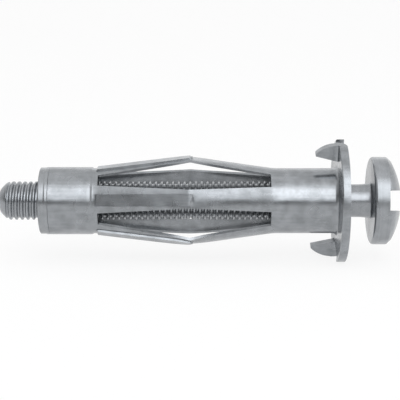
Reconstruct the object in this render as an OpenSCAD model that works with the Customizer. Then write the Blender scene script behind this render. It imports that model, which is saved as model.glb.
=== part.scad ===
/* [Sleeve tube] */
// radial gap between the thread and the bore of the sleeve
bore_gap = 1.225; // [0.6:0.025:2]
// thickness of the wall of the tube and the legs
sheet_t = 0.5; // [0.4:0.05:0.8]
// back of the flange to the square ends of the slots nearest to it
grip_len = 8.6; // [4:0.1:20]
// length of the slots between the legs
slot_len = 22.1; // [14:0.1:45]
// plain tube left between the slots and the collar
root_len = 0.6; // [0.3:0.05:2]

/* [Flange] */
// diameter of the flange
flange_d = 15.9; // [13:0.1:22]
// thickness of the flange and the prongs
flange_t = 1.05; // [0.6:0.05:1.4]
// radius between the tube and the back of the flange
flange_fillet = 0.55; // [0.3:0.05:1.0]
// break on the punched edges of the flange
edge_break = 0.12; // [0.05:0.01:0.25]

/* [Prongs] */
// number of prongs folded back from the rim
prong_count = 2; // [2:1:3]
// direction of the first prong, from the -Y side upwards
prong_angle = 78; // [0:1:359]
// length of a prong behind the flange
prong_len = 2.8; // [1.5:0.05:4]
// flat left between the flange fillet and the inner end of a fold
prong_inset = 0.925; // [0.2:0.025:1.5]
// how far the outer edge of a prong curves in towards its tip
prong_drop = 1.2; // [0.5:0.05:2]
// width of a prong tip
prong_tip_w = 0.3; // [0.2:0.02:1.5]
// inside radius of the folds
fold_r = 0.3; // [0.2:0.05:0.6]
// gap between a prong and the sides of the notch it was cut from
notch_gap = 0.1; // [0.05:0.05:0.4]

/* [Legs] */
// number of legs
leg_count = 5; // [3:1:6]
// direction of the first leg, from the -Y side upwards
leg_angle = 15.5; // [0:0.5:359]
// distance inside the tube, past the slot ends, where the legs start to rise
fold_in = 0.4; // [0.3:0.05:0.5]
// outward rise of the knees over the tube
knee_rise = 1.55; // [0.5:0.05:2.2]
// distance of the knees from the slot ends nearest the flange
knee_at = 10.3; // [6:0.1:22]
// width of a leg where it leaves the tube on the flange side
leg_w_front = 3.2; // [2.4:0.05:3.8]
// width of a leg at the knee
leg_w_knee = 2.25; // [1.6:0.05:3]
// width of a leg where it leaves the tube on the collar side
leg_w_rear = 3.55; // [2.4:0.05:4.3]
// width of the stiffening rib pressed into the collar half of a leg
rib_w = 1.45; // [0.8:0.05:1.8]
// height of the stiffening rib
rib_h = 0.2; // [0.1:0.05:0.35]
// how far the rib runs past the knee
rib_past = 0.25; // [0.05:0.05:0.4]

/* [Collar and nut] */
// how far the collar and the nut flange stand proud of the tube
collar_step = 0.135; // [0.05:0.005:0.5]
// length of the collar
collar_len = 5.7; // [3:0.1:10]
// length of the rolled shoulder where the collar meets the tube
shoulder_len = 0.35; // [0.2:0.05:0.8]
// thickness of the nut flange
nut_flange_t = 1.28; // [0.8:0.05:3]
// gap around the nut spigot in the collar
spigot_gap = 0.02; // [0.01:0.01:0.1]
// break on the outer edges of nut and collar
joint_break = 0.1; // [0.05:0.01:0.2]

/* [Screw] */
// thread diameter
thread_d = 5.0; // [4:0.5:6]
// radial gap between the thread and the nut bore
thread_gap = 0.05; // [0.01:0.01:0.1]
// diameter of the plain shank
shank_d = 4.26; // [3:0.02:5.6]
// how far the tip stands out of the nut as supplied
tip_proud = 5.27; // [2:0.01:40]
// length of plain shank under the head
shank_len = 5.4; // [3:0.1:20]
// radius under the head
head_fillet = 0.85; // [0.4:0.05:1.2]
// rounding of the screw tip
tip_round = 1.28; // [0.5:0.02:1.8]
// gap between the flange and the head as supplied
head_gap = 3.33; // [1:0.01:8]

/* [Screw head] */
// diameter of the pan head
head_d = 11.34; // [8:0.02:15]
// height of the pan head
head_h = 3.9; // [2.4:0.05:5]
// radius of the domed top
dome_r = 10.5; // [8:0.1:16]
// height of the straight rim, up to the break where the dome starts
rim_h = 1.95; // [1:0.05:2.6]
// break on the edge under the head
under_break = 0.25; // [0.05:0.05:0.6]
// width of the driver slot
driver_w = 2.6; // [1:0.05:3]
// depth of the driver slot
driver_depth = 2.05; // [1:0.05:2.5]
// direction of the driver slot, from the -Y side upwards
driver_angle = 12; // [0:1:359]

/* [Hidden] */

bore_r = thread_d / 2 + bore_gap;
mid_r = bore_r + sheet_t / 2;
tube_r = bore_r + sheet_t;
tube_d = 2 * tube_r;
flange_r = flange_d / 2;
collar_r = tube_r + collar_step;
collar_bore_r = collar_r - sheet_t;

// stations along the axis, measured from the back of the flange
slot_front_x = -grip_len;
slot_rear_x = slot_front_x - slot_len;
collar_front_x = slot_rear_x - root_len;
collar_rear_x = collar_front_x - collar_len;
nut_end_x = collar_rear_x - nut_flange_t;
seat_x = flange_t + head_gap;
tip_x = nut_end_x - tip_proud;

// folds, slopes and lengths of the two runs of a leg
fold_front_x = slot_front_x + fold_in;
fold_rear_x = slot_rear_x - fold_in;
front_reach = knee_at + fold_in;
rear_reach = slot_len - knee_at + fold_in;
slope_front = atan(knee_rise / front_reach);
slope_rear = atan(knee_rise / rear_reach);
front_run = front_reach / cos(slope_front);
rear_run = rear_reach / cos(slope_rear);

// corners of a prong, from the axis, and the curve of its outer edge
prong_crown_r = flange_r - edge_break;
prong_inner_r = tube_r + flange_fillet + prong_inset;
prong_tip_r = prong_crown_r - prong_drop - prong_tip_w;
prong_curve_r = (prong_len ^ 2 + prong_drop ^ 2) / (2 * prong_drop);

reach = 2 * flange_d;
lap = 0.3;

// stands a profile drawn as [radius, station] on the X axis
module turned() {
  rotate([0, 90, 0]) rotate_extrude() children();
}

// points a child that faces +Z to a direction counted from -Y upwards
module facing(direction) {
  rotate([90 - direction, 0, 0]) children();
}

// a rectangle between two radii and two stations
module band(r0, r1, x0, x1) {
  translate([r0, x0]) square([r1 - r0, x1 - x0]);
}

// outside of flange, tube and collar as one solid section
module outer_section() {
  flare_r = tube_r + flange_fillet;
  polygon([
    [0, collar_rear_x], [collar_r - joint_break, collar_rear_x],
    [collar_r, collar_rear_x + joint_break],
    [collar_r, collar_front_x - shoulder_len], [tube_r, collar_front_x],
    [tube_r, 0], [flange_r - edge_break, 0], [flange_r, edge_break],
    [flange_r, flange_t - edge_break], [flange_r - edge_break, flange_t],
    [0, flange_t]
  ]);
  difference() {
    band(tube_r, flare_r, -flange_fillet, 0);
    translate([flare_r, -flange_fillet]) circle(flange_fillet);
  }
}

// inside: rounded mouth, bore, and the seat of the nut in the collar
module inner_section() {
  flare_r = tube_r + flange_fillet;
  mouth_r = flange_fillet + sheet_t;
  band(0, bore_r, collar_rear_x - lap, flange_t + lap);
  polygon([
    [0, collar_rear_x - lap], [collar_bore_r, collar_rear_x - lap],
    [collar_bore_r, collar_front_x - shoulder_len],
    [bore_r, collar_front_x], [0, collar_front_x]
  ]);
  difference() {
    band(0, flare_r, flange_t - mouth_r, flange_t + lap);
    translate([flare_r, flange_t - mouth_r]) circle(mouth_r);
  }
}

// half angle that a leg of a given width covers on the tube
function half_angle(w) = asin(w / tube_d);

// places a child that runs along +X so that it rises from the front fold
module on_front() {
  translate([fold_front_x, 0, mid_r]) rotate([0, slope_front, 0])
    translate([0, 0, -mid_r]) mirror([1, 0, 0]) children();
}

// places a child that runs along +X so that it rises from the rear fold
module on_rear() {
  translate([fold_rear_x, 0, mid_r]) rotate([0, -slope_rear, 0])
    translate([0, 0, -mid_r]) children();
}

// a length of section along +X, crown up
module bar(x0, x1) {
  translate([x0, 0, 0]) rotate([90, 0, 90]) linear_extrude(x1 - x0)
    children();
}

// the two straight runs of a leg with one section, meeting at the knee
module leg_core() {
  length = 1.2 * slot_len + 2 * lap;
  intersection() {
    on_front() bar(-lap, length) children();
    on_rear() bar(-lap, length) children();
  }
}

// section of all that lies under a leg
module vault_section() {
  circle(bore_r);
  translate([-bore_r, -reach]) square([2 * bore_r, reach]);
}

// what lies beside one run that narrows from its fold to the knee
module beside(run, w_root) {
  mid = (half_angle(w_root) + half_angle(leg_w_knee)) / 2;
  y_root = tube_r * sin(half_angle(w_root) - mid);
  grade = -2 * y_root / run;
  rotate([-mid, 0, 0]) translate([0, 0, -reach]) linear_extrude(2 * reach)
    polygon([
      [-reach, y_root - grade * reach], [reach, y_root + grade * reach],
      [reach, 2 * reach], [-reach, 2 * reach]
    ]);
}

// stiffening rib on the outside of the rear run
module rib() {
  on_rear() bar(-lap / 2, rear_run + rib_past) difference() {
    intersection() {
      circle(tube_r + rib_h);
      translate([-rib_w / 2, 0]) square([rib_w, tube_d]);
    }
    circle(mid_r);
  }
}

// hollow that the rib leaves on the inside
module rib_hollow() {
  on_rear() bar(fold_in + rib_h, rear_run - rib_h) intersection() {
    circle(bore_r + rib_h);
    translate([-rib_w / 4, 0]) square([rib_w / 2, tube_d]);
  }
}

// one leg, crown up: folded out of the tube at both ends, bent at the knee
module leg() {
  difference() {
    union() {
      difference() {
        leg_core() circle(tube_r);
        leg_core() vault_section();
        for (side = [0, 1]) mirror([0, side, 0]) intersection() {
          on_front() beside(front_run, leg_w_front);
          on_rear() beside(rear_run, leg_w_rear);
        }
        translate([-2 * reach, -reach, -reach])
          cube([3 * reach, 2 * reach, reach]);
      }
      rib();
    }
    rib_hollow();
  }
}

// outline of a prong behind the flange, drawn as [depth, radius]
module prong_outline() {
  intersection() {
    polygon([
      [0, prong_inner_r], [0, prong_crown_r], [prong_len, prong_crown_r],
      [prong_len, prong_tip_r]
    ]);
    translate([0, prong_crown_r - prong_curve_r]) circle(prong_curve_r);
  }
}

// a rim piece folded square to the flange, lying in the XZ plane
module prong() {
  near = -flange_t / 2;
  translate([-fold_r, near + flange_t, 0]) rotate([90, 0, 0])
    linear_extrude(flange_t) mirror([1, 0]) prong_outline();
  intersection() {
    translate([-fold_r, near - fold_r, prong_inner_r]) difference() {
      cylinder(r = fold_r + flange_t, h = prong_crown_r - prong_inner_r);
      translate([0, 0, -lap]) cylinder(r = fold_r, h = flange_r);
    }
    translate([-fold_r, near - fold_r, 0])
      cube([fold_r + flange_t, fold_r + flange_t, flange_r]);
  }
}

// the gap left in the rim where a prong was folded out
module notch() {
  start = -flange_t / 2 - fold_r;
  relief = flange_t / 2 + notch_gap;
  side = start + prong_len + fold_r + flange_t + notch_gap;
  translate([-lap, 0, 0]) rotate([90, 0, 90]) linear_extrude(flange_t + 2 * lap)
    polygon([
      [start, prong_inner_r - notch_gap], [relief, prong_inner_r - notch_gap],
      [side, prong_tip_r - notch_gap], [side, flange_d], [start, flange_d]
    ]);
}

module sleeve() {
  color([0.78, 0.80, 0.82]) difference() {
    union() {
      difference() {
        turned() outer_section();
        translate([slot_rear_x, -reach, -reach])
          cube([slot_len, 2 * reach, 2 * reach]);
        for (k = [0:prong_count - 1])
          facing(prong_angle + k * 360 / prong_count) notch();
      }
      for (k = [0:leg_count - 1]) facing(leg_angle + k * 360 / leg_count) leg();
      for (k = [0:prong_count - 1])
        facing(prong_angle + k * 360 / prong_count) prong();
    }
    turned() inner_section();
  }
}

// flanged bush, its spigot held in the collar
module nut() {
  spigot_r = collar_bore_r - spigot_gap;
  spigot_end_x = collar_front_x - shoulder_len - spigot_gap;
  thread_bore_r = thread_d / 2 + thread_gap;
  color([0.74, 0.76, 0.79]) turned() polygon([
    [thread_bore_r, nut_end_x + joint_break],
    [thread_bore_r + joint_break, nut_end_x],
    [collar_r - joint_break, nut_end_x],
    [collar_r, nut_end_x + joint_break],
    [collar_r, collar_rear_x - joint_break],
    [collar_r - joint_break, collar_rear_x],
    [spigot_r, collar_rear_x],
    [spigot_r, spigot_end_x - joint_break],
    [spigot_r - joint_break, spigot_end_x],
    [thread_bore_r, spigot_end_x]
  ]);
}

// pan head as [radius, station]: a dome over a straight rim
module head_section() {
  head_r = head_d / 2;
  rim_x = seat_x + rim_h;
  intersection() {
    translate([0, seat_x + head_h - dome_r]) circle(dome_r);
    polygon([
      [0, seat_x], [head_r - under_break, seat_x],
      [head_r, seat_x + under_break], [head_r, rim_x],
      [head_r - head_h, rim_x + head_h], [0, rim_x + head_h]
    ]);
  }
}

// shank and thread body as [radius, station]
module shank_section() {
  thread_x = seat_x - shank_len;
  step = (thread_d - shank_d) / 2;
  band(0, shank_d / 2, thread_x, seat_x);
  difference() {
    band(0, shank_d / 2 + head_fillet, seat_x - head_fillet, seat_x);
    translate([shank_d / 2 + head_fillet, seat_x - head_fillet])
      circle(head_fillet);
  }
  polygon([
    [0, tip_x + tip_round], [thread_d / 2, tip_x + tip_round],
    [thread_d / 2, thread_x - step], [shank_d / 2, thread_x], [0, thread_x]
  ]);
  band(0, thread_d / 2 - tip_round, tip_x, tip_x + tip_round);
  intersection() {
    translate([thread_d / 2 - tip_round, tip_x + tip_round])
      circle(tip_round);
    band(0, thread_d / 2, tip_x, tip_x + tip_round);
  }
}

module screw() {
  color([0.72, 0.75, 0.80]) difference() {
    turned() {
      head_section();
      shank_section();
    }
    facing(driver_angle)
      translate([seat_x + head_h - driver_depth, -driver_w / 2, -head_d])
        cube([head_h, driver_w, 2 * head_d]);
  }
}

sleeve();
nut();
screw();
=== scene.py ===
"""Hollow wall anchor lying on a pale sheet: a folded sleeve, a flanged nut and a slotted pan-head screw.

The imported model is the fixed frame. The three pieces are modelled here again at the same sizes and places,
with the bends, punched edges, rolled thread and zinc plating that the construction model leaves out.
Lengths are metres. The axis of the anchor is X, the head is at +X, and the back of the flange is at X = 0.
"""

import sys
import logging
import math
from collections.abc import Callable
from dataclasses import dataclass
from enum import Enum

import bmesh
import bpy
from mathutils import Matrix, Vector


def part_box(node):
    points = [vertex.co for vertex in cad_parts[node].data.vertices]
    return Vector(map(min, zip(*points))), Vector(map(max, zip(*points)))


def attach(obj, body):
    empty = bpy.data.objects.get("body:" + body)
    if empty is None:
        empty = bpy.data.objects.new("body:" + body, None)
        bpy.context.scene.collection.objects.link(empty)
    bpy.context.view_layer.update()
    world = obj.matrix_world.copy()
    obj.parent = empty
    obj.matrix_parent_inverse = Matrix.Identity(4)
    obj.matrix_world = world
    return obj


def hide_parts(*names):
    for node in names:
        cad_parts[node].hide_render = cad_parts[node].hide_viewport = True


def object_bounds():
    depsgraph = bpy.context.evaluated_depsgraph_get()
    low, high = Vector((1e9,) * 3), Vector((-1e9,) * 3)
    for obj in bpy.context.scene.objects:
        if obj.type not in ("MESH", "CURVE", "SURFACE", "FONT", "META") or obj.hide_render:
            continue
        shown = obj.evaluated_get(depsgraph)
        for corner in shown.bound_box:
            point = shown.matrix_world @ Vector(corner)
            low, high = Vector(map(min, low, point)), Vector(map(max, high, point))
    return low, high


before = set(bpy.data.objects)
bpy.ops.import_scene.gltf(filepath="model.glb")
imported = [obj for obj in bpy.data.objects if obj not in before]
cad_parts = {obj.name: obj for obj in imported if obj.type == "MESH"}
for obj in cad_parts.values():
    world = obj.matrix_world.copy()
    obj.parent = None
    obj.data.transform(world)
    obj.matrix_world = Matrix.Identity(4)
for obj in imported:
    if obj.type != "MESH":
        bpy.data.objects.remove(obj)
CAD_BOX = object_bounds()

MM = 0.001
AXIS = Vector((1.0, 0.0, 0.0))
ORIGIN = Vector((0.0, 0.0, 0.0))
WELD = 0.002 * MM
FINE_WELD = WELD / 10
CUT_SNAP = WELD / 20

Piece = bpy.types.Object
Tree = bpy.types.NodeTree
Socket = bpy.types.NodeSocket
Point = tuple[float, float]  # a station along the axis and a radius
Stops = tuple[tuple[float, float], ...]  # places from 0 to 1 and the brightness at each
Feed = float | tuple[float, ...] | Socket  # what goes into a shader node's input

log = logging.getLogger("wall_anchor")


class Pick(Enum):
    """What a selection in edit mode is made of."""

    VERTS = "VERT"
    EDGES = "EDGE"
    FACES = "FACE"


class Streaks(Enum):
    """Which way the fine marks of making run on a plated piece, and their waves a metre in each direction."""

    ALONG_AXIS = (160.0, 3600.0, 3600.0)
    AROUND_AXIS = (4200.0, 4200.0, 1.0)


def radial(turn: float) -> Vector:
    """Unit vector square to the axis.

    Args:
        turn: Angle from +Y towards +Z, in degrees.

    Returns:
        The vector in the YZ plane.
    """
    return Vector((0.0, math.cos(math.radians(turn)), math.sin(math.radians(turn))))


def facing(direction: float) -> float:
    """The turn from +Y of a direction that is counted from -Y upwards, in degrees."""
    return 180.0 - direction


def put_down() -> None:
    """Leaves edit mode and deselects every object."""
    if bpy.context.mode != "OBJECT":
        bpy.ops.object.mode_set(mode="OBJECT")
    bpy.ops.object.select_all(action="DESELECT")


def take_up(piece: Piece, mode: str = "EDIT") -> None:
    """Makes a piece the only selected one and opens it.

    Args:
        piece: The object to work on.
        mode: EDIT or OBJECT.
    """
    put_down()
    piece.select_set(True)
    bpy.context.view_layer.objects.active = piece
    if mode == "EDIT":
        bpy.ops.object.mode_set(mode="EDIT")


def pick(piece: Piece, what: Pick, wanted: Callable[..., bool]) -> None:
    """Selects parts of the open mesh by their place.

    Args:
        piece: The object that is in edit mode.
        what: Edges or faces.
        wanted: Takes a bmesh edge or face and says whether it is selected.
    """
    bpy.ops.mesh.select_mode(type=what.value)
    bpy.ops.mesh.select_all(action="DESELECT")
    mesh = bmesh.from_edit_mesh(piece.data)
    for part in mesh.edges if what is Pick.EDGES else mesh.faces:
        if wanted(part):
            part.select_set(True)
    bmesh.update_edit_mesh(piece.data)


def edge_middle(edge: bmesh.types.BMEdge) -> Vector:
    """Middle of an edge."""
    return (edge.verts[0].co + edge.verts[1].co) / 2


def draw_profile(name: str, points: list[Point], turn: float) -> Piece:
    """Draws an open profile in a half plane through the axis: one point, extruded on and on.

    Args:
        name: Name of the new object.
        points: Points of the profile.
        turn: Angle of the half plane from +Y towards +Z, in degrees.

    Returns:
        The object, in edit mode, with the whole profile selected.
    """
    put_down()
    bpy.ops.mesh.primitive_plane_add(size=MM)
    piece = bpy.context.object
    piece.name = name
    piece.data.name = name
    bpy.ops.object.mode_set(mode="EDIT")
    bpy.ops.mesh.select_mode(type=Pick.VERTS.value)
    bpy.ops.mesh.merge(type="CENTER")
    out = radial(turn)
    here = AXIS * points[0][0] + out * points[0][1]
    bpy.ops.transform.translate(value=here)
    for station, radius in points[1:]:
        there = AXIS * station + out * radius
        bpy.ops.mesh.extrude_vertices_move(TRANSFORM_OT_translate={"value": there - here})
        here = there
    bpy.ops.mesh.select_all(action="SELECT")
    return piece


def spin(
    steps: int, angle: float, centre: Vector = ORIGIN, axis: Vector = AXIS, copies: bool = False
) -> None:
    """Spins the selected mesh, right-handed about an axis.

    Args:
        steps: Number of steps.
        angle: Whole angle in degrees.
        centre: A point on the axis.
        axis: Direction of the axis.
        copies: Whether copies are left behind in place of a swept surface.
    """
    bpy.ops.mesh.spin(
        steps=steps, angle=math.radians(angle), center=centre, axis=-axis, dupli=copies, use_auto_merge=False
    )


def cut(place: Vector, normal: Vector, **how: bool) -> None:
    """Cuts the selected faces along a plane.

    Args:
        place: A point on the plane.
        normal: Normal of the plane.
        how: The side that is cleared away and whether the cut is filled, as bisect names them.
    """
    bpy.ops.mesh.bisect(plane_co=place, plane_no=normal, threshold=CUT_SNAP, **how)


def grow_along(points: list[Point]) -> None:
    """Extrudes the selected loop round the axis through a profile.

    Args:
        points: Points of the profile. The first is where the loop already is.
    """
    for (x0, r0), (x1, r1) in zip(points, points[1:]):
        bpy.ops.mesh.extrude_edges_move(TRANSFORM_OT_translate={"value": AXIS * (x1 - x0)})
        bpy.ops.transform.resize(value=(1.0, r1 / r0, r1 / r0), center_override=ORIGIN)


def arc(centre: Point, radius: float, start: float, end: float, steps: int) -> list[Point]:
    """Points along an arc of a profile.

    Args:
        centre: Its centre.
        radius: Radius of the arc.
        start: First angle from +X towards outward, in degrees.
        end: Last angle, in degrees.
        steps: Number of chords.

    Returns:
        The points, both ends included.
    """
    turns = [math.radians(start + (end - start) * k / steps) for k in range(steps + 1)]
    return [(centre[0] + radius * math.cos(t), centre[1] + radius * math.sin(t)) for t in turns]


def weld(within: float = WELD) -> None:
    """Merges vertices of the open mesh that are within a distance of each other."""
    bpy.ops.mesh.select_all(action="SELECT")
    bpy.ops.mesh.remove_doubles(threshold=within)


def weld_and_face_out(piece: Piece) -> None:
    """Merges a piece's doubled vertices and turns all its faces outwards.

    Args:
        piece: The object.
    """
    take_up(piece)
    weld()
    bpy.ops.mesh.normals_make_consistent(inside=False)
    put_down()


def apply(piece: Piece, kind: str, **settings: object) -> None:
    """Gives a piece a modifier and applies it at once.

    Args:
        piece: The object.
        kind: Type of the modifier.
        settings: Its settings, as Blender names them.
    """
    take_up(piece, "OBJECT")
    modifier = piece.modifiers.new(kind.lower(), kind)
    for name, value in settings.items():
        setattr(modifier, name, value)
    bpy.ops.object.modifier_apply(modifier=modifier.name)


def break_edges(piece: Piece, width: float, angle: float) -> None:
    """Bevels every edge sharper than an angle, and merges the points that meet where a bevel has no room.

    Args:
        piece: The object.
        width: Width of the bevel.
        angle: Sharpest angle between faces that is left alone, in degrees.
    """
    apply(piece, "BEVEL", width=width, segments=1, limit_method="ANGLE", angle_limit=math.radians(angle))
    bpy.ops.object.mode_set(mode="EDIT")
    weld(FINE_WELD)
    put_down()


def smooth(piece: Piece, angle: float) -> None:
    """Shades a piece smooth, apart from its sharp edges.

    Args:
        piece: The object.
        angle: Sharpest angle between faces that is shaded smooth, in degrees.
    """
    take_up(piece, "OBJECT")
    bpy.ops.object.shade_smooth_by_angle(angle=math.radians(angle))
    put_down()


def feed(node: bpy.types.Node, feeds: dict[str | int, Feed]) -> bpy.types.Node:
    """Gives a shader node its inputs: a number or a colour is set, and a socket is linked.

    Args:
        node: The node.
        feeds: What goes into each input, by the input's name or number.

    Returns:
        The node.
    """
    for name, what in feeds.items():
        if isinstance(what, Socket):
            node.id_data.links.new(what, node.inputs[name])
        else:
            node.inputs[name].default_value = what
    return node


def maths(tree: Tree, operation: str, *terms: Feed, clamp: bool = False) -> Socket:
    """Works a value out of others.

    Args:
        tree: The node tree.
        operation: What is done with the terms, as Blender names it.
        terms: Numbers or sockets.
        clamp: Whether the result is kept between 0 and 1.

    Returns:
        The socket of the result.
    """
    node = tree.nodes.new("ShaderNodeMath")
    node.operation = operation
    node.use_clamp = clamp
    return feed(node, dict(enumerate(terms))).outputs[0]


def noise(tree: Tree, place: Socket, scale: float, detail: float) -> Socket:
    """Adds a noise texture.

    Args:
        tree: The node tree.
        place: Socket that gives the place.
        scale: Its scale, in waves a metre.
        detail: Its detail.

    Returns:
        The socket of its value.
    """
    feeds = {"Scale": scale, "Detail": detail, "Roughness": 0.55, "Vector": place}
    return feed(tree.nodes.new("ShaderNodeTexNoise"), feeds).outputs[0]


def brightness_along(tree: Tree, share: Socket, stops: Stops) -> Socket:
    """Turns one coordinate of a direction into a brightness.

    Args:
        tree: The node tree of the world.
        share: Socket of the coordinate, from -1 to 1.
        stops: The brightness at places from 0, where the coordinate is -1, to 1.

    Returns:
        The socket of the brightness.
    """
    shift = feed(tree.nodes.new("ShaderNodeMapRange"), {"From Min": -1.0, "Value": share})
    ramp = tree.nodes.new("ShaderNodeValToRGB")
    elements = ramp.color_ramp.elements
    elements[0].position, elements[1].position = stops[0][0], stops[-1][0]
    for _ in stops[1:-1]:
        elements.new(0.5)
    for element, (place, bright) in zip(elements, stops):
        element.position = place
        element.color = (bright, bright, bright, 1.0)
    return feed(ramp, {0: shift.outputs[0]}).outputs[0]


@dataclass(frozen=True)
class ZincPlate:
    """Bright zinc plating on steel, with the fine marks that the making of the piece left under it.

    Attributes:
        name: Name of the material.
        tint: Colour of the plating.
        dull: Colour of its duller clouds.
        roughness: Roughness of the least rough patches.
        roughness_spread: How much rougher the roughest patches are.
        streaks: Which way the fine marks run.
        streak_depth: Depth of the marks.
        ripple_depth: Depth of the broad unevenness.
        metallic: How much of the light it reflects as a metal does.
        marks_share: How much the marks add to the clouds.
        mottle_ends: Strength of the clouds that is wholly dull, and the one that is wholly bright.
        patch_ends: Strength of the patches that is least rough, and the one that is roughest.
        clouds: Scale and detail of the noise that the colour follows. The next three are alike.
        patches: The noise that the roughness follows.
        ripple: The noise that the broad unevenness follows.
        marks: The noise that is stretched to marks.
    """

    name: str
    tint: tuple[float, float, float]
    dull: tuple[float, float, float]
    roughness: float
    roughness_spread: float
    streaks: Streaks
    streak_depth: float
    ripple_depth: float
    metallic: float = 0.82
    marks_share: float = 0.45
    mottle_ends: tuple[float, float] = (0.52, 0.88)
    patch_ends: tuple[float, float] = (0.3, 0.7)
    clouds: tuple[float, float] = (700.0, 4.0)
    patches: tuple[float, float] = (210.0, 2.0)
    ripple: tuple[float, float] = (380.0, 3.5)
    marks: tuple[float, float] = (1.0, 3.0)

    def make(self) -> bpy.types.Material:
        """Builds the material.

        Returns:
            A node material that reads Object coordinates only.
        """
        material = bpy.data.materials.new(self.name)
        material.use_nodes = True
        tree = material.node_tree
        place = tree.nodes.new("ShaderNodeTexCoord").outputs["Object"]
        clouds = noise(tree, place, *self.clouds)
        patches = noise(tree, place, *self.patches)
        marks = noise(tree, self.along_the_marks(tree, place), *self.marks)
        colour = tree.nodes.new("ShaderNodeValToRGB")
        for element, end, tone in zip(colour.color_ramp.elements, self.mottle_ends, (self.dull, self.tint)):
            element.position = end
            element.color = (*tone, 1.0)
        feed(colour, {0: maths(tree, "MULTIPLY_ADD", marks, self.marks_share, clouds)})
        rough = feed(tree.nodes.new("ShaderNodeMapRange"), {
            "From Min": self.patch_ends[0],
            "From Max": self.patch_ends[1],
            "To Min": self.roughness,
            "To Max": self.roughness + self.roughness_spread,
            "Value": patches,
        })
        broad = feed(tree.nodes.new("ShaderNodeBump"), {
            "Distance": self.ripple_depth,
            "Height": noise(tree, place, *self.ripple),
        })
        fine = feed(tree.nodes.new("ShaderNodeBump"), {
            "Distance": self.streak_depth,
            "Height": marks,
            "Normal": broad.outputs[0],
        })
        feed(tree.nodes["Principled BSDF"], {
            "Metallic": self.metallic,
            "Base Color": colour.outputs[0],
            "Roughness": rough.outputs[0],
            "Normal": fine.outputs[0],
        })
        return material

    def along_the_marks(self, tree: Tree, place: Socket) -> Socket:
        """Stretches places along the marks of making.

        Args:
            tree: The material's node tree.
            place: Socket with Object coordinates.

        Returns:
            The socket of the stretched places.
        """
        if self.streaks is Streaks.AROUND_AXIS:
            apart = feed(tree.nodes.new("ShaderNodeSeparateXYZ"), {0: place}).outputs
            flat = feed(tree.nodes.new("ShaderNodeCombineXYZ"), {"Y": apart["Y"], "Z": apart["Z"]})
            reach = tree.nodes.new("ShaderNodeVectorMath")
            reach.operation = "LENGTH"
            feed(reach, {0: flat.outputs[0]})
            rings = {"X": apart["X"], "Y": reach.outputs["Value"]}
            place = feed(tree.nodes.new("ShaderNodeCombineXYZ"), rings).outputs[0]
        stretch = {"Scale": self.streaks.value, "Vector": place}
        return feed(tree.nodes.new("ShaderNodeMapping"), stretch).outputs[0]


SHEET_ZINC = ZincPlate(
    name="zinc_on_folded_sheet",
    tint=(0.335, 0.350, 0.368),
    dull=(0.245, 0.257, 0.269),
    roughness=0.195,
    roughness_spread=0.12,
    streaks=Streaks.ALONG_AXIS,
    streak_depth=0.0026 * MM,
    ripple_depth=0.013 * MM,
)
TURNED_ZINC = ZincPlate(
    name="zinc_on_turned_nut",
    tint=(0.340, 0.354, 0.371),
    dull=(0.272, 0.284, 0.296),
    roughness=0.20,
    roughness_spread=0.11,
    streaks=Streaks.AROUND_AXIS,
    streak_depth=0.0015 * MM,
    ripple_depth=0.010 * MM,
)
SCREW_ZINC = ZincPlate(
    name="zinc_on_screw",
    tint=(0.340, 0.354, 0.372),
    dull=(0.268, 0.281, 0.294),
    roughness=0.20,
    roughness_spread=0.11,
    streaks=Streaks.AROUND_AXIS,
    streak_depth=0.0012 * MM,
    ripple_depth=0.007 * MM,
)


def dress(piece: Piece, finish: ZincPlate) -> None:
    """Gives a piece its finish."""
    piece.data.materials.clear()
    piece.data.materials.append(finish.make())


def hand_over(piece: Piece, body: str, node: str) -> None:
    """Ties a finished piece to the frame and logs it.

    Args:
        piece: The finished object, with its place in its mesh.
        body: The body that it moves with.
        node: The node that it stands for.
    """
    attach(piece, body)
    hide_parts(node)
    low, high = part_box(node)
    corners = [vertex.co for vertex in piece.data.vertices]
    over = max(max(max(c[k] - high[k], low[k] - c[k]) for c in corners) for k in range(3))
    faces = len(piece.data.polygons)
    log.info("%s: %d faces, %.3f mm outside its node's box", piece.name, faces, over / MM)


@dataclass(frozen=True)
class Prong:
    """One prong folded back from the rim of the flange.

    Attributes:
        direction: Its direction, counted from -Y upwards, in degrees.
        length: Length behind the fold.
        drop: How far its outer edge curves in.
        tip_width: Width of its tip.
    """

    direction: float
    length: float
    drop: float
    tip_width: float


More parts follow.
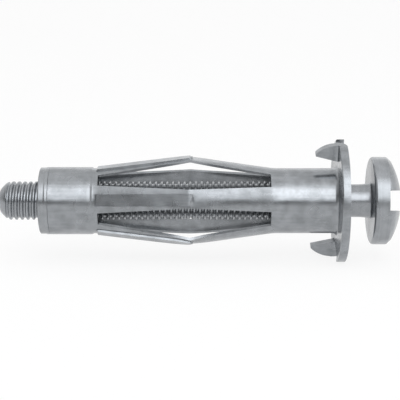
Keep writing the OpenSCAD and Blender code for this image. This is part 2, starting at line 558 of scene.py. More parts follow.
@dataclass
class Sleeve:
    """The folded sheet-metal sleeve: collar, five kneed legs, tube, flange and two prongs, all one sheet.

    Its outer face is modelled as a thin skin, the wall is grown inwards from it, and the punched edges are
    broken. Rows of vertices run round it and columns along it, counted from the middle of each leg.
    """

    wall: float = 0.35 * MM
    flange_t: float = 1.05 * MM
    tube_r: float = 4.225 * MM
    collar_r: float = 4.36 * MM
    collar_rear: float = -37.0 * MM
    collar_front: float = -31.3 * MM
    shoulder: float = 0.35 * MM
    slot_rear: float = -30.7 * MM
    slot_front: float = -8.6 * MM
    knee: float = -18.9 * MM
    knee_rise: float = 1.52 * MM
    fold_in: float = 0.4 * MM
    fold_soft: float = 0.55 * MM
    knee_soft: float = 0.35 * MM
    leg_count: int = 5
    leg_direction: float = 14.0
    leg_w_front: float = 3.2 * MM
    leg_w_knee: float = 2.35 * MM
    leg_w_rear: float = 3.55 * MM
    rib_flat: float = 0.73 * MM
    rib_foot: float = 0.78 * MM
    rib_h: float = 0.18 * MM
    rib_corner: float = 0.28 * MM
    rib_aside: float = 0.12 * MM
    leg_leans: tuple[float, ...] = (0.0, -4.0, -3.0, -4.0, 9.0)
    lean_power: float = 8.0
    knee_flat: float = 0.6
    flat_power: float = 2.5
    rib_tilt: float = 1.5
    rib_start: float = -30.98 * MM
    rib_lead: float = 0.15 * MM
    rib_end: float = -18.5 * MM
    rib_round: float = 0.16 * MM
    flange_r: float = 7.95 * MM
    fillet: float = 0.55 * MM
    rim_edge: float = 0.16 * MM
    prong_crown: float = 7.83 * MM
    prong_root: float = 5.7 * MM
    fold_r: float = 0.3 * MM
    notch_gap: float = 0.1 * MM
    notch_arc: float = 0.7
    punched_edge: float = 0.05 * MM
    rib_group: str = "pressed_rib"
    half_columns: int = 12
    leg_columns: int = 8
    rib_columns: int = 2
    shoulder_rows: int = 5
    lip_row: float = 0.3 * MM
    bend_rows: tuple[float, ...] = (0.0, 0.1, 0.2, 0.3, 0.42, 0.55)
    rib_end_rows: tuple[float, ...] = (0.44, 0.28, 0.16, 0.06, 0.0)
    row_gap: float = 0.8 * MM
    least_gap: float = 0.045 * MM
    slot_gap: float = 0.04 * MM
    rim_near: float = 10 * WELD
    flange_rings: int = 4
    prong_rows: int = 9
    prongs: tuple[Prong, ...] = (
        Prong(direction=78.0, length=2.6 * MM, drop=1.15 * MM, tip_width=0.3 * MM),
        Prong(direction=258.0, length=2.8 * MM, drop=1.2 * MM, tip_width=0.3 * MM),
    )

    def build(self) -> Piece:
        """Models the whole sleeve.

        Returns:
            The finished object.
        """
        skin = self.spin_sector()
        self.shape_sector(skin)
        self.repeat_sector(skin)
        self.lean_legs(skin)
        self.grow_flange(skin)
        for prong in self.prongs:
            self.fold_prong(skin, prong)
        self.thicken(skin)
        self.round_rim(skin)
        break_edges(skin, self.punched_edge, angle=48.0)
        smooth(skin, angle=30.0)
        dress(skin, SHEET_ZINC)
        return skin

    def stations(self) -> list[float]:
        """Stations of the rows from the collar's end to the foot of the flange fillet.

        Returns:
            Sorted stations, close together at every bend.
        """
        ends = [self.slot_rear, self.slot_front]
        parts = self.shoulder_rows
        rows = [self.collar_rear, self.collar_rear + self.lip_row]
        rows += [self.rib_start, self.rib_start + self.rib_lead]
        rows += [self.collar_front - self.shoulder * k / parts for k in range(parts + 1)]
        for bend in (self.knee, *ends):
            rows += [bend + sign * offset * MM for offset in self.bend_rows for sign in (-1, 1)]
        rows += [self.rib_end - back * MM for back in self.rib_end_rows]
        for start, end in (
            (self.collar_rear, self.collar_front),
            (self.slot_rear, self.knee),
            (self.knee, self.slot_front),
            (self.slot_front, -self.fillet),
        ):
            count = max(2, round((end - start) / self.row_gap))
            rows += [start + (end - start) * k / count for k in range(count + 1)]
        rows.sort()
        kept = rows[:1]
        for row in rows[1:]:
            if row - kept[-1] > self.least_gap:
                kept.append(row)
        kept = [row for row in kept if min(abs(row - end) for end in ends) > self.slot_gap]
        return sorted(kept + ends)

    def skin_radius(self, station: float) -> float:
        """Radius of the round skin before the legs are bent.

        Args:
            station: Place along the axis.

        Returns:
            The radius there.
        """
        start = self.collar_front - self.shoulder
        share = min(1.0, max(0.0, (station - start) / self.shoulder))
        return self.collar_r + (self.tube_r - self.collar_r) * (1 - math.cos(math.pi * share)) / 2

    def spin_sector(self) -> Piece:
        """Spins the skin of one leg's share of the tube.

        Returns:
            The object.
        """
        share = 360.0 / self.leg_count
        start = facing(self.leg_direction) - share / 2
        points = [(station, self.skin_radius(station)) for station in self.stations()]
        skin = draw_profile("sleeve_skin", points, start)
        spin(2 * self.half_columns, share)
        put_down()
        return skin

    def leg_width(self, station: float) -> float:
        """Width of a leg, from its folds to its waist at the knee.

        Args:
            station: Place along the axis.

        Returns:
            The width there.
        """
        if station < self.knee:
            share = min(1.0, (self.knee - station) / (self.knee - self.slot_rear))
            return self.leg_w_knee + (self.leg_w_rear - self.leg_w_knee) * share
        share = min(1.0, (station - self.knee) / (self.slot_front - self.knee))
        return self.leg_w_knee + (self.leg_w_front - self.leg_w_knee) * share

    def column_turn(self, column: int, station: float) -> float:
        """Angle of a column of the skin from the middle of its leg.

        Args:
            column: Column counted from the middle, negative on one side.
            station: Place along the axis.

        Returns:
            The angle in radians.
        """
        rib_lines = (0.0, self.rib_flat / 2, self.rib_flat, self.rib_foot)
        index = abs(column)
        side = math.copysign(1.0, column)
        edge = math.asin(self.leg_width(station) / 2 / self.tube_r)
        half_share = math.pi / self.leg_count
        last_rib = len(rib_lines) - 1
        if index <= last_rib:
            return math.asin((self.rib_aside + side * rib_lines[index]) / self.tube_r)
        if index <= self.leg_columns:
            foot = math.asin((self.rib_aside + side * self.rib_foot) / self.tube_r)
            return foot + (side * edge - foot) * (index - last_rib) / (self.leg_columns - last_rib)
        beyond = (half_share - edge) * (index - self.leg_columns) / (self.half_columns - self.leg_columns)
        return side * (edge + beyond)

    def rise(self, station: float) -> float:
        """How far a leg stands out from the tube, with soft bends at both folds and the knee.

        Args:
            station: Place along the axis.

        Returns:
            The distance.
        """

        def ramp(distance: float, soft: float) -> float:
            """A straight climb from 0 that sets in softly."""
            start = (distance + soft) ** 2 / (4 * soft)
            return start if abs(distance) < soft else max(0.0, distance)

        rear_fold = self.slot_rear - self.fold_in
        front_fold = self.slot_front + self.fold_in
        rear_slope = self.knee_rise / (self.knee - rear_fold)
        front_slope = self.knee_rise / (front_fold - self.knee)
        return (
            rear_slope * ramp(station - rear_fold, self.fold_soft)
            - (rear_slope + front_slope) * ramp(station - self.knee, self.knee_soft)
            + front_slope * ramp(station - front_fold, self.fold_soft)
        )

    def near_knee(self, station: float, power: float) -> float:
        """How near a station is to the knee.

        Args:
            station: Place along the axis.
            power: How sharply it falls off from the knee.

        Returns:
            A share from 0 at the folds and beyond them to 1 at the knee.
        """
        if station < self.knee:
            share = (station - self.slot_rear) / (self.knee - self.slot_rear)
        else:
            share = (self.slot_front - station) / (self.slot_front - self.knee)
        return max(0.0, share) ** power

    def leg_at(self, place: Vector) -> tuple[int, Vector]:
        """The leg that a place belongs to.

        Args:
            place: A point of the sleeve.

        Returns:
            The leg's number, from the one in front upwards, and the outward direction of its middle.
        """
        direction = facing(math.degrees(math.atan2(place.z, place.y)))
        from_first = (direction - self.leg_direction + 180.0 / self.leg_count) % 360.0
        leg = int(from_first * self.leg_count / 360.0)
        return leg, radial(facing(self.leg_direction + leg * 360.0 / self.leg_count))

    def lean_legs(self, skin: Piece) -> None:
        """Twists each leg a little at its knee, because no two legs are bent quite alike.

        Args:
            skin: The sleeve's skin.
        """
        for vertex in skin.data.vertices:
            leg, middle = self.leg_at(vertex.co)
            aside = vertex.co.dot(middle.cross(AXIS))
            lean = math.tan(math.radians(self.leg_leans[leg])) * self.near_knee(vertex.co.x, self.lean_power)
            vertex.co += middle * (aside * lean)

    def press_ribs(self, skin: Piece, outer: int) -> None:
        """Raises the ribs on the outer face.

        Args:
            skin: The sleeve with its wall.
            outer: How many vertices the outer face has. They come first.
        """
        group = skin.vertex_groups[self.rib_group].index
        for vertex in skin.data.vertices[:outer]:
            for share in vertex.groups:
                if share.group == group:
                    vertex.co += self.leg_at(vertex.co)[1] * (share.weight * MM)

    def round_rim(self, skin: Piece) -> None:
        """Rounds the back edge of the flange's rim.

        Args:
            skin: The sleeve with its wall.
        """

        def on_rim(place: Vector) -> bool:
            """Whether a place is on the back of the flange, at its rim."""
            return abs(place.x) < WELD and abs(math.hypot(place.y, place.z) - self.flange_r) < self.rim_near

        take_up(skin)
        pick(skin, Pick.EDGES, lambda edge: all(on_rim(vertex.co) for vertex in edge.verts))
        bpy.ops.mesh.bevel(offset=self.rim_edge, segments=3, affect="EDGES")
        put_down()

    def rib_share(self, column: int, station: float) -> float:
        """How much of the pressed rib a column has at a station.

        Args:
            column: Column counted from the middle of its leg, negative on one side.
            station: Place along the axis.

        Returns:
            A share from 0 beside the rib to 1 on its flat top.
        """
        if abs(column) > self.rib_columns:
            return 0.0
        start = min(1.0, max(0.0, (station - self.rib_start) / self.rib_lead))
        corner = self.rib_corner if abs(column) == self.rib_columns else 0.0
        end = min(1.0, max(0.0, (self.rib_end - corner - station) / self.rib_round))
        return start * math.sin(end * math.pi / 2)

    def shape_sector(self, skin: Piece) -> None:
        """Cuts the slots beside the leg, then presses the leg to its taper, knee and rib.

        Args:
            skin: One leg's sector of the skin.
        """
        middle = facing(self.leg_direction)
        step = 360.0 / self.leg_count / (2 * self.half_columns)
        leg_half = self.leg_columns * step

        def turn_of(place: Vector) -> float:
            """Turn of a place from the middle of the leg, in degrees."""
            turn = math.degrees(math.atan2(place.z, place.y)) - middle
            return (turn + 180.0) % 360.0 - 180.0

        def in_slot(face: bmesh.types.BMFace) -> bool:
            """Whether a face lies where a slot is punched out."""
            centre = face.calc_center_median()
            return self.slot_rear < centre.x < self.slot_front and abs(turn_of(centre)) > leg_half

        take_up(skin)
        pick(skin, Pick.FACES, in_slot)
        bpy.ops.mesh.delete(type="FACE")
        put_down()
        pressed = skin.vertex_groups.new(name=self.rib_group)
        for vertex in skin.data.vertices:
            station = vertex.co.x
            column = round(turn_of(vertex.co) / step)
            turn = self.column_turn(column, station)
            radius = self.skin_radius(station)
            out = radius * math.cos(turn)
            if abs(column) <= self.leg_columns:
                out += self.knee_flat * (radius - out) * self.near_knee(station, self.flat_power)
            tilt = column * self.rib_flat / 2 * math.tan(math.radians(self.rib_tilt))
            height = self.tube_r + self.rib_h - tilt - out
            pressed.add([vertex.index], height * self.rib_share(column, station) / MM, "ADD")
            if abs(column) <= self.leg_columns:
                out += self.rise(station)
            aside = radius * math.sin(turn)
            vertex.co = AXIS * station + radial(middle) * out + radial(middle + 90.0) * aside

    def repeat_sector(self, skin: Piece) -> None:
        """Copies the finished sector round the axis and welds the copies to one skin.

        Args:
            skin: One leg's sector of the skin.
        """
        copies = self.leg_count - 1
        take_up(skin)
        bpy.ops.mesh.select_all(action="SELECT")
        spin(copies, 360.0 / self.leg_count * copies, copies=True)
        weld()
        put_down()

    def grow_flange(self, skin: Piece) -> None:
        """Extrudes the open end of the tube through the fillet and out to the rim.

        Args:
            skin: The sleeve's skin.
        """
        take_up(skin)
        pick(skin, Pick.EDGES, lambda e: e.is_boundary and abs(edge_middle(e).x + self.fillet) < WELD)
        start = self.tube_r + self.fillet
        foot = arc((-self.fillet, start), self.fillet, start=270.0, end=360.0, steps=7)
        reach = (self.flange_r - self.tube_r - self.fillet) / self.flange_rings
        grow_along(foot + [(0.0, start + reach * k) for k in range(1, self.flange_rings + 1)])
        put_down()

    def fold_prong(self, skin: Piece, prong: Prong) -> None:
        """Cuts a notch in the rim and folds the piece out of it square to the flange.

        Args:
            skin: The sleeve's skin.
            prong: The prong to fold.
        """
        out = radial(facing(prong.direction))
        aside = radial(facing(prong.direction) - 90.0)
        start = -self.flange_t / 2 - self.fold_r
        relief = self.flange_t / 2 + self.notch_gap
        side = start + prong.length + self.fold_r + self.flange_t + self.notch_gap
        bottom = self.prong_root - self.notch_gap
        far_bottom = self.prong_crown - prong.drop - prong.tip_width - self.notch_gap
        slope = (out * (far_bottom - bottom) + aside * (side - relief)).normalized()
        slope_normal = AXIS.cross(slope)
        cuts = [
            (aside * start, aside),
            (aside * relief, aside),
            (aside * side, aside),
            (out * bottom, out),
            (out * self.prong_root, out),
            (out * bottom + aside * relief, slope_normal),
        ]

        def on_flange(face: bmesh.types.BMFace) -> bool:
            """Whether a face lies on the flange near the prong.

            Args:
                face: The face.

            Returns:
                True for a face of the flange within about an eighth of a turn of the prong.
            """
            centre = face.calc_center_median()
            near = centre.dot(out) > self.notch_arc * centre.length
            return near and all(abs(vertex.co.x) < WELD for vertex in face.verts)

        take_up(skin)
        for place, normal in cuts:
            pick(skin, Pick.FACES, on_flange)
            cut(place, normal)

        def in_notch(face: bmesh.types.BMFace) -> bool:
            """Whether a face lies where the notch is punched out.

            Args:
                face: The face.

            Returns:
                True for a face of the flange between the fold and the far side, above the sloping bottom.
            """
            if not on_flange(face):
                return False
            centre = face.calc_center_median()
            across, height = centre.dot(aside), centre.dot(out)
            if not start < across < side:
                return False
            climb = max(0.0, across - relief) * (far_bottom - bottom) / (side - relief)
            return height > bottom + climb

        pick(skin, Pick.FACES, in_notch)
        bpy.ops.mesh.delete(type="FACE")

        def on_fold(edge: bmesh.types.BMEdge) -> bool:
            """Whether an edge is one that the prong is folded from."""
            level = all(abs(v.co.x) < WELD and abs(v.co.dot(aside) - start) < WELD for v in edge.verts)
            return level and edge.is_boundary and edge_middle(edge).dot(out) > self.prong_root

        pick(skin, Pick.EDGES, on_fold)
        spin(steps=6, angle=90.0, centre=AXIS * -self.fold_r + aside * start, axis=out)
        self.draw_out_prong(skin, prong, out)
        put_down()

    def draw_out_prong(self, skin: Piece, prong: Prong, out: Vector) -> None:
        """Extrudes the folded edge along the prong and gives every row its place on the outline.

        Args:
            skin: The sleeve's skin, in edit mode, with the folded edge selected.
            prong: The prong.
            out: Direction of the prong from the axis.
        """
        steps = self.prong_rows
        curve_r = (prong.length**2 + prong.drop**2) / (2 * prong.drop)
        tip = self.prong_crown - prong.drop - prong.tip_width
        low, high = self.prong_root, self.flange_r
        for k in range(1, steps + 1):
            depth = prong.length * k / steps
            new_low = self.prong_root + (tip - self.prong_root) * k / steps
            new_high = self.prong_crown - curve_r + math.sqrt(curve_r**2 - depth**2)
            bpy.ops.mesh.extrude_edges_move(TRANSFORM_OT_translate={"value": AXIS * (-prong.length / steps)})
            mesh = bmesh.from_edit_mesh(skin.data)
            share = (new_high - new_low) / (high - low)
            for vertex in mesh.verts:
                if vertex.select:
                    height = vertex.co.dot(out)
                    vertex.co += out * (new_low + (height - low) * share - height)
            bmesh.update_edit_mesh(skin.data)
            low, high = new_low, new_high

    def prong_share(self, place: Vector) -> float:
        """Share of the full thickness behind the flange: all of it on a prong, none of it on a leg."""
        return 1.0 if place.x > -2 * self.fold_r - max(prong.length for prong in self.prongs) else 0.0

    def thicken(self, skin: Piece) -> None:
        """Turns the skin's faces outwards, grows the wall inwards from it and presses the ribs.

        Args:
            skin: The sleeve's skin.
        """
        take_up(skin)
        weld()
        bpy.ops.mesh.normals_make_consistent(inside=False)
        mesh = bmesh.from_edit_mesh(skin.data)
        collar_face = min(mesh.faces, key=lambda face: face.calc_center_median().x)
        centre = collar_face.calc_center_median()
        outward = Vector((0.0, centre.y, centre.z))
        if collar_face.normal.dot(outward) < 0:
            bpy.ops.mesh.flip_normals()
        put_down()
        thick = skin.vertex_groups.new(name="full_thickness")
        for vertex in skin.data.vertices:
            share = min(1.0, max(0.0, 1.0 + vertex.co.x / self.fillet))
            beyond_fillet = math.hypot(vertex.co.y, vertex.co.z) > self.tube_r + self.fillet + WELD
            if beyond_fillet and vertex.co.x < -WELD:
                share = self.prong_share(vertex.co)
            thick.add([vertex.index], share, "REPLACE")
        outer = len(skin.data.vertices)
        apply(
            skin,
            "SOLIDIFY",
            thickness=self.flange_t,
            vertex_group=thick.name,
            thickness_vertex_group=self.wall / self.flange_t,
            offset=-1.0,
            use_even_offset=True,
            use_quality_normals=True,
        )
        put_down()
        self.press_ribs(skin, outer)


@dataclass
class Nut:
    """The flanged bush at the end of the sleeve, turned in one piece and bored for the thread."""

    end: float = -38.28 * MM
    joint: float = -37.0 * MM
    spigot_end: float = -31.67 * MM
    flange_r: float = 4.36 * MM
    spigot_r: float = 3.99 * MM
    bore_r: float = 2.55 * MM
    countersink: float = 0.25 * MM
    ring_step: float = 0.06 * MM
    ring_at: float = -37.42 * MM
    ring_slope: float = 0.12 * MM
    corner: float = 0.12 * MM
    edge_row: float = 0.03 * MM
    steps: int = 112

    def build(self) -> Piece:
        """Models the nut.

        Returns:
            The finished object.
        """
        low_r = self.flange_r - self.ring_step
        corner = self.corner
        profile = [
            (self.spigot_end, self.bore_r),
            (self.end + self.countersink, self.bore_r),
            (self.end, self.bore_r + self.countersink),
            *arc((self.end + corner, low_r - corner), corner, start=180.0, end=90.0, steps=4),
            (self.end + corner + self.edge_row, low_r),
            (self.ring_at - self.ring_slope - self.edge_row, low_r),
            (self.ring_at - self.ring_slope, low_r),
            (self.ring_at, self.flange_r),
            (self.ring_at + self.edge_row, self.flange_r),
            (self.joint - corner - self.edge_row, self.flange_r),
            *arc((self.joint - corner, self.flange_r - corner), corner, start=90.0, end=0.0, steps=4),
            (self.joint, self.spigot_r),
            (self.spigot_end, self.spigot_r),
            (self.spigot_end, self.bore_r),
        ]
        nut = draw_profile("flanged_nut", profile, turn=0.0)
        spin(self.steps, angle=360.0)
        weld_and_face_out(nut)
        smooth(nut, angle=32.0)
        dress(nut, TURNED_ZINC)
        return nut


@dataclass
class Screw:
    """The pan-head machine screw: rolled right-hand thread, plain shank and slotted head, one piece.

    The outline of a tooth is given in shares of its pitch and height. The other outlines are in millimetres,
    and the neck's stations are counted from the seat of the head.
    """

    thread_r: float = 2.5 * MM
    pitch: float = 0.74 * MM
    first_crest: float = -42.58 * MM
    tooth: float = 0.28 * MM
    half_tooth: tuple[Point, ...] = (
        (0.0, 0.0),
        (0.11, 0.02),
        (0.17, 0.13),
        (0.25, 0.52),
        (0.31, 0.83),
        (0.36, 0.95),
        (0.42, 0.992),
    )
    spare_teeth: int = 2
    thread_end: float = -1.02 * MM
    run_out: float = 0.9 * MM
    tip: float = -43.55 * MM
    tip_outline: tuple[Point, ...] = (
        (-43.56, 1.24),
        (-43.5, 1.42),
        (-43.38, 1.6),
        (-43.1, 1.92),
        (-42.82, 2.2),
        (-42.6, 2.36),
        (-42.35, 2.46),
        (-42.0, 2.5),
    )
    shank_r: float = 2.13 * MM
    shank_rows: int = 3
    seat: float = 4.38 * MM
    neck_flare: tuple[Point, ...] = (
        (-1.5, 2.13),
        (-1.1, 2.15),
        (-0.7, 2.19),
        (-0.4, 2.24),
        (-0.2, 2.28),
        (-0.12, 2.31),
        (-0.05, 2.36),
        (-0.01, 2.43),
        (0.0, 2.5),
        (0.0, 2.56),
    )
    head_r: float = 5.67 * MM
    head_h: float = 3.9 * MM
    dome_r: float = 10.5 * MM
    rim_h: float = 2.12 * MM
    under_round: float = 0.38 * MM
    rim_round: float = 0.2 * MM
    brim: float = 0.5 * MM
    edge_row: float = 0.04 * MM
    slot_w: float = 2.6 * MM
    slot_depth: float = 2.05 * MM
    slot_direction: float = 12.0
    slot_edge: float = 0.05 * MM
    wall_near: float = 5 * WELD
    steps: int = 72

    def build(self) -> Piece:
        """Models the screw.

        Returns:
            The finished object.
        """
        screw = self.roll_thread()
        self.turn_down(screw)
        self.trim_ends(screw)
        self.grow_head(screw)
        weld_and_face_out(screw)
        self.cut_slot(screw)
        smooth(screw, angle=30.0)
        dress(screw, SCREW_ZINC)
        return screw

    def roll_thread(self) -> Piece:
        """Draws one tooth, repeats it along the axis and sweeps the row one turn round and one pitch on.

        Returns:
            The thread as an open shell, longer than needed at both ends.
        """
        root_r = self.thread_r - self.tooth
        other_half = [(1.0 - along, height) for along, height in reversed(self.half_tooth)]
        start = self.first_crest - (self.spare_teeth + 0.5) * self.pitch
        profile = [
            (start + along * self.pitch, root_r + height * self.tooth)
            for along, height in [*self.half_tooth, (0.5, 1.0), *other_half]
        ]
        thread = draw_profile("screw_body", profile, turn=90.0)
        apply(
            thread,
            "ARRAY",
            use_relative_offset=False,
            use_constant_offset=True,
            constant_offset_displace=AXIS * self.pitch,
            count=math.ceil((self.thread_end - start) / self.pitch) + self.spare_teeth,
            use_merge_vertices=True,
            merge_threshold=WELD,
        )
        apply(thread, "SCREW", axis="X", steps=self.steps, render_steps=self.steps, screw_offset=-self.pitch)
        take_up(thread)
        weld()
        put_down()
        return thread

    def turn_down(self, thread: Piece) -> None:
        """Rounds the tip and fades the thread into the shank by limiting the radius of every point.

        Args:
            thread: The thread as an open shell.
        """
        for vertex in thread.data.vertices:
            station, y, z = vertex.co
            radius = math.hypot(y, z)
            wanted = min(radius, self.tip_radius(station))
            fade = min(1.0, max(0.0, (self.thread_end - station) / self.run_out))
            wanted = self.shank_r + (wanted - self.shank_r) * fade
            vertex.co = Vector((station, y * wanted / radius, z * wanted / radius))

    def tip_radius(self, station: float) -> float:
        """Greatest radius that the rounding of the tip leaves.

        Args:
            station: Place along the axis.

        Returns:
            The radius there.
        """
        outline = [(x * MM, r * MM) for x, r in self.tip_outline]
        if station <= outline[0][0]:
            return outline[0][1]
        for (x0, r0), (x1, r1) in zip(outline, outline[1:]):
            if station <= x1:
                return r0 + (r1 - r0) * (station - x0) / (x1 - x0)
        return self.thread_r

    def trim_ends(self, thread: Piece) -> None:
        """Cuts the shell square at the tip, where it is closed, and at the shank, where it stays open.

        Args:
            thread: The thread as an open shell.
        """
        take_up(thread)
        bpy.ops.mesh.select_all(action="SELECT")
        cut(AXIS * self.tip, AXIS, use_fill=True, clear_inner=True)
        bpy.ops.mesh.select_all(action="SELECT")
        cut(AXIS * self.thread_end, AXIS, clear_outer=True)
        weld()
        put_down()

    def head_profile(self) -> list[Point]:
        """Draws the profile of shank, neck, rim and dome.

        Returns:
            Its points, from the end of the thread to near the middle of the dome.
        """
        rim_end = self.seat + self.rim_h
        dome_centre = (self.seat + self.head_h - self.dome_r, 0.0)
        dome_edge = math.degrees(math.asin((self.head_r - self.brim) / self.dome_r))
        under, rim, row = self.under_round, self.rim_round, self.edge_row
        return [
            *[(self.thread_end + k * MM, self.shank_r) for k in range(self.shank_rows + 1)],
            *[(self.seat + along * MM, radius * MM) for along, radius in self.neck_flare],
            (self.seat, self.head_r - under - row),
            *arc((self.seat + under, self.head_r - under), under, start=180.0, end=90.0, steps=6),
            (self.seat + under + row, self.head_r),
            (rim_end - rim - row, self.head_r),
            *arc((rim_end - rim, self.head_r - rim), rim, start=90.0, end=40.0, steps=4),
            *arc(dome_centre, self.dome_r, start=dome_edge, end=1.5, steps=12),
        ]

    def grow_head(self, screw: Piece) -> None:
        """Extrudes the open end of the thread over shank, neck, rim and dome, and closes it in the middle.

        Args:
            screw: The thread as an open shell.
        """

        def at_open_end(edge: bmesh.types.BMEdge) -> bool:
            """Whether an edge lies on the open end of the thread."""
            return edge.is_boundary and all(abs(v.co.x - self.thread_end) < WELD for v in edge.verts)

        take_up(screw)
        pick(screw, Pick.EDGES, at_open_end)
        grow_along(self.head_profile())
        bpy.ops.mesh.extrude_edges_move()
        bpy.ops.mesh.merge(type="CENTER")
        put_down()

    def cut_slot(self, screw: Piece) -> None:
        """Mills the driver slot across the head and breaks its edges.

        Args:
            screw: The closed screw.
        """
        floor = self.seat + self.head_h - self.slot_depth
        turn = facing(self.slot_direction) - 90.0
        across = radial(turn)
        sharp = math.radians(25.0)
        put_down()
        bpy.ops.mesh.primitive_cube_add(size=1.0)
        cutter = bpy.context.object
        bpy.ops.object.mode_set(mode="EDIT")
        bpy.ops.transform.resize(value=(self.head_h, self.slot_w, 3 * self.head_r), center_override=ORIGIN)
        bpy.ops.transform.translate(value=AXIS * (floor + self.head_h / 2))
        put_down()
        cutter.data.transform(Matrix.Rotation(math.radians(turn), 4, AXIS))
        apply(screw, "BOOLEAN", operation="DIFFERENCE", solver="EXACT", object=cutter)
        bpy.data.objects.remove(cutter)

        def on_wall(place: Vector) -> bool:
            """Whether a place is on a wall of the slot, above its floor."""
            return place.x > floor + WELD and abs(abs(place.dot(across)) - self.slot_w / 2) < self.wall_near

        def sharp_at_slot(edge: bmesh.types.BMEdge) -> bool:
            """Whether an edge is a sharp one where a wall of the slot ends."""
            return all(on_wall(v.co) for v in edge.verts) and edge.calc_face_angle(0.0) > sharp

        take_up(screw)
        pick(screw, Pick.EDGES, sharp_at_slot)
        bpy.ops.mesh.bevel(offset=self.slot_edge, segments=2, affect="EDGES")
        put_down()


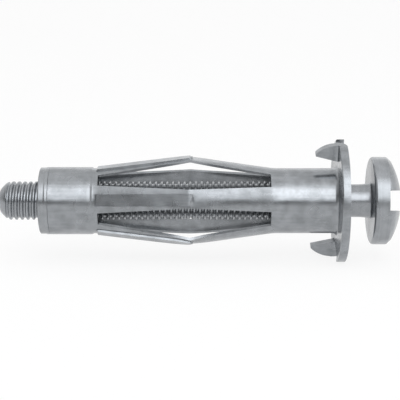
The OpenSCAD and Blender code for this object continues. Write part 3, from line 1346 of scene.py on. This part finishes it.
@dataclass
class Studio:
    """The pale sweep, the lamps and the camera."""

    floor_z: float = CAD_BOX[0].z
    sweep_half_width: float = 3000 * MM
    sweep_front: float = -2500 * MM
    sweep_back: float = 900 * MM
    sweep_radius: float = 250 * MM
    sweep_height: float = 900 * MM
    camera_distance: float = 163.6 * MM
    camera_elevation: float = 12.0
    camera_aim: float = -17.66 * MM
    camera_lift: float = 0.08 * MM
    lens_mm: float = 113.4
    sensor_mm: float = 36.0
    paper_white: float = 0.94
    paper_glow: float = 0.86
    wall_stops: Stops = ((0.0, 0.14), (0.15, 0.16), (0.5, 0.25), (0.75, 0.9), (1.0, 1.0))
    right_stops: Stops = ((0.0, 0.0), (0.76, 0.0), (0.9, 0.9), (1.0, 1.0))
    ceiling_stops: Stops = ((0.0, 0.0), (0.58, 0.0), (0.95, 1.05))

    def build(self) -> None:
        """Sets the whole studio up."""
        bpy.context.scene.view_settings.view_transform = "Standard"
        self.lay_sweep()
        self.hang_lamps()
        self.light_the_room()
        self.place_camera()

    def lay_sweep(self) -> None:
        """Lays a sheet that runs along the floor and curves up behind."""
        put_down()
        bpy.ops.mesh.primitive_plane_add(size=2.0)
        sweep = bpy.context.object
        sweep.name = "paper_sweep"
        bpy.ops.object.mode_set(mode="EDIT")
        length = self.sweep_back - self.sweep_front
        bpy.ops.transform.resize(value=(self.sweep_half_width, length / 2, 1.0), center_override=ORIGIN)
        middle = (self.sweep_back + self.sweep_front) / 2
        bpy.ops.transform.translate(value=(0.0, middle, self.floor_z))
        pick(sweep, Pick.EDGES, lambda edge: edge_middle(edge).y > self.sweep_back - MM)
        bend = Vector((0.0, self.sweep_back, self.floor_z + self.sweep_radius))
        spin(steps=16, angle=90.0, centre=bend)
        bpy.ops.mesh.extrude_edges_move(TRANSFORM_OT_translate={"value": (0.0, 0.0, self.sweep_height)})
        put_down()
        smooth(sweep, angle=40.0)
        sweep.data.materials.append(self.paper())

    def paper(self) -> bpy.types.Material:
        """White paper that camera, mirror and glass see as white, and that still takes shadows.

        Returns:
            The material.
        """
        material = bpy.data.materials.new("white_paper")
        material.use_nodes = True
        tree = material.node_tree
        tree.nodes.remove(tree.nodes["Principled BSDF"])
        white = (self.paper_white, self.paper_white, self.paper_white, 1.0)
        matte = feed(tree.nodes.new("ShaderNodeBsdfDiffuse"), {"Color": white}).outputs[0]
        glow = tree.nodes.new("ShaderNodeEmission").outputs[0]
        rays = tree.nodes.new("ShaderNodeLightPath").outputs
        seen = maths(tree, "ADD", rays["Is Camera Ray"], rays["Is Glossy Ray"], clamp=True)
        seen = maths(tree, "ADD", seen, rays["Is Transmission Ray"], clamp=True)
        share = maths(tree, "MULTIPLY", seen, self.paper_glow)
        mix = feed(tree.nodes.new("ShaderNodeMixShader"), {0: share, 1: matte, 2: glow})
        feed(tree.nodes["Material Output"], {"Surface": mix.outputs[0]})
        return material

    def hang_lamps(self) -> None:
        """Hangs two softboxes in front that overlap, a weak one behind and a low one on the right."""
        self.softbox("front_softbox", place=(15.0, 32.5, 420.0), size=(220.0, 320.0), radiance=1.55)
        self.softbox("wide_softbox", place=(15.0, 42.0, 425.0), size=(270.0, 420.0), radiance=1.15)
        self.softbox("back_softbox", place=(0.0, 160.0, 780.0), size=(900.0, 230.0), radiance=0.35)
        self.softbox(
            "right_softbox", place=(0.0, 22.0, 500.0), size=(260.0, 260.0), radiance=1.5, azimuth=80.0
        )

    def softbox(
        self,
        name: str,
        place: tuple[float, float, float],
        size: tuple[float, float],
        radiance: float,
        azimuth: float = 0.0,
    ) -> None:
        """Hangs one softbox that faces the object.

        Args:
            name: Name of the lamp.
            place: Station that it faces, its elevation in degrees from the front and its distance, in mm.
            size: Width and height of its face, in mm.
            radiance: Brightness of its face, where 1 is white.
            azimuth: How far round to the right of the front it stands, in degrees.
        """
        station, elevation, distance = place
        width, height = size[0] * MM, size[1] * MM
        data = bpy.data.lights.new(name, "AREA")
        data.shape = "RECTANGLE"
        data.size = width
        data.size_y = height
        data.energy = radiance * math.pi * width * height
        data.color = (0.96, 0.98, 1.0)
        lamp = bpy.data.objects.new(name, data)
        bpy.context.scene.collection.objects.link(lamp)
        level, turn = math.cos(math.radians(elevation)), math.radians(azimuth)
        back = Vector((level * math.sin(turn), -level * math.cos(turn), math.sin(math.radians(elevation))))
        lamp.location = AXIS * (station * MM) + back * (distance * MM)
        lamp.rotation_euler = (-back).to_track_quat("-Z", "Y").to_euler()

    def light_the_room(self) -> None:
        """Gives the room its walls and ceiling: dim in front, and brighter behind, on the right and above."""
        world = bpy.data.worlds.new("room")
        bpy.context.scene.world = world
        world.use_nodes = True
        tree = world.node_tree
        place = tree.nodes.new("ShaderNodeTexCoord").outputs["Generated"]
        apart = feed(tree.nodes.new("ShaderNodeSeparateXYZ"), {0: place}).outputs
        walls = brightness_along(tree, apart["Y"], self.wall_stops)
        right = brightness_along(tree, apart["X"], self.right_stops)
        ceiling = brightness_along(tree, apart["Z"], self.ceiling_stops)
        brightest = maths(tree, "MAXIMUM", maths(tree, "MAXIMUM", walls, ceiling), right)
        feed(tree.nodes["Background"], {"Color": brightest})

    def place_camera(self) -> None:
        """Stands the camera square to the axis, a little above it."""
        data = bpy.data.cameras.new("camera")
        data.lens = self.lens_mm
        data.sensor_width = self.sensor_mm
        data.clip_start = 5 * MM
        data.clip_end = 20.0
        camera = bpy.data.objects.new("camera", data)
        bpy.context.scene.collection.objects.link(camera)
        bpy.context.scene.camera = camera
        tilt = math.radians(self.camera_elevation)
        back = Vector((0.0, -math.cos(tilt), math.sin(tilt)))
        up = Vector((0.0, math.sin(tilt), math.cos(tilt)))
        camera.location = AXIS * self.camera_aim + up * self.camera_lift + back * self.camera_distance
        camera.rotation_euler = (-back).to_track_quat("-Z", "Y").to_euler()


def main() -> None:
    """Builds the studio and the three pieces, in that order."""
    logging.basicConfig(level=logging.INFO, format="%(name)s: %(message)s", stream=sys.stdout)
    put_down()
    Studio().build()
    hand_over(Sleeve().build(), body="anchor", node="sleeve")
    hand_over(Nut().build(), body="anchor", node="nut")
    hand_over(Screw().build(), body="screw", node="screw")


if __name__ == "__main__":
    main()
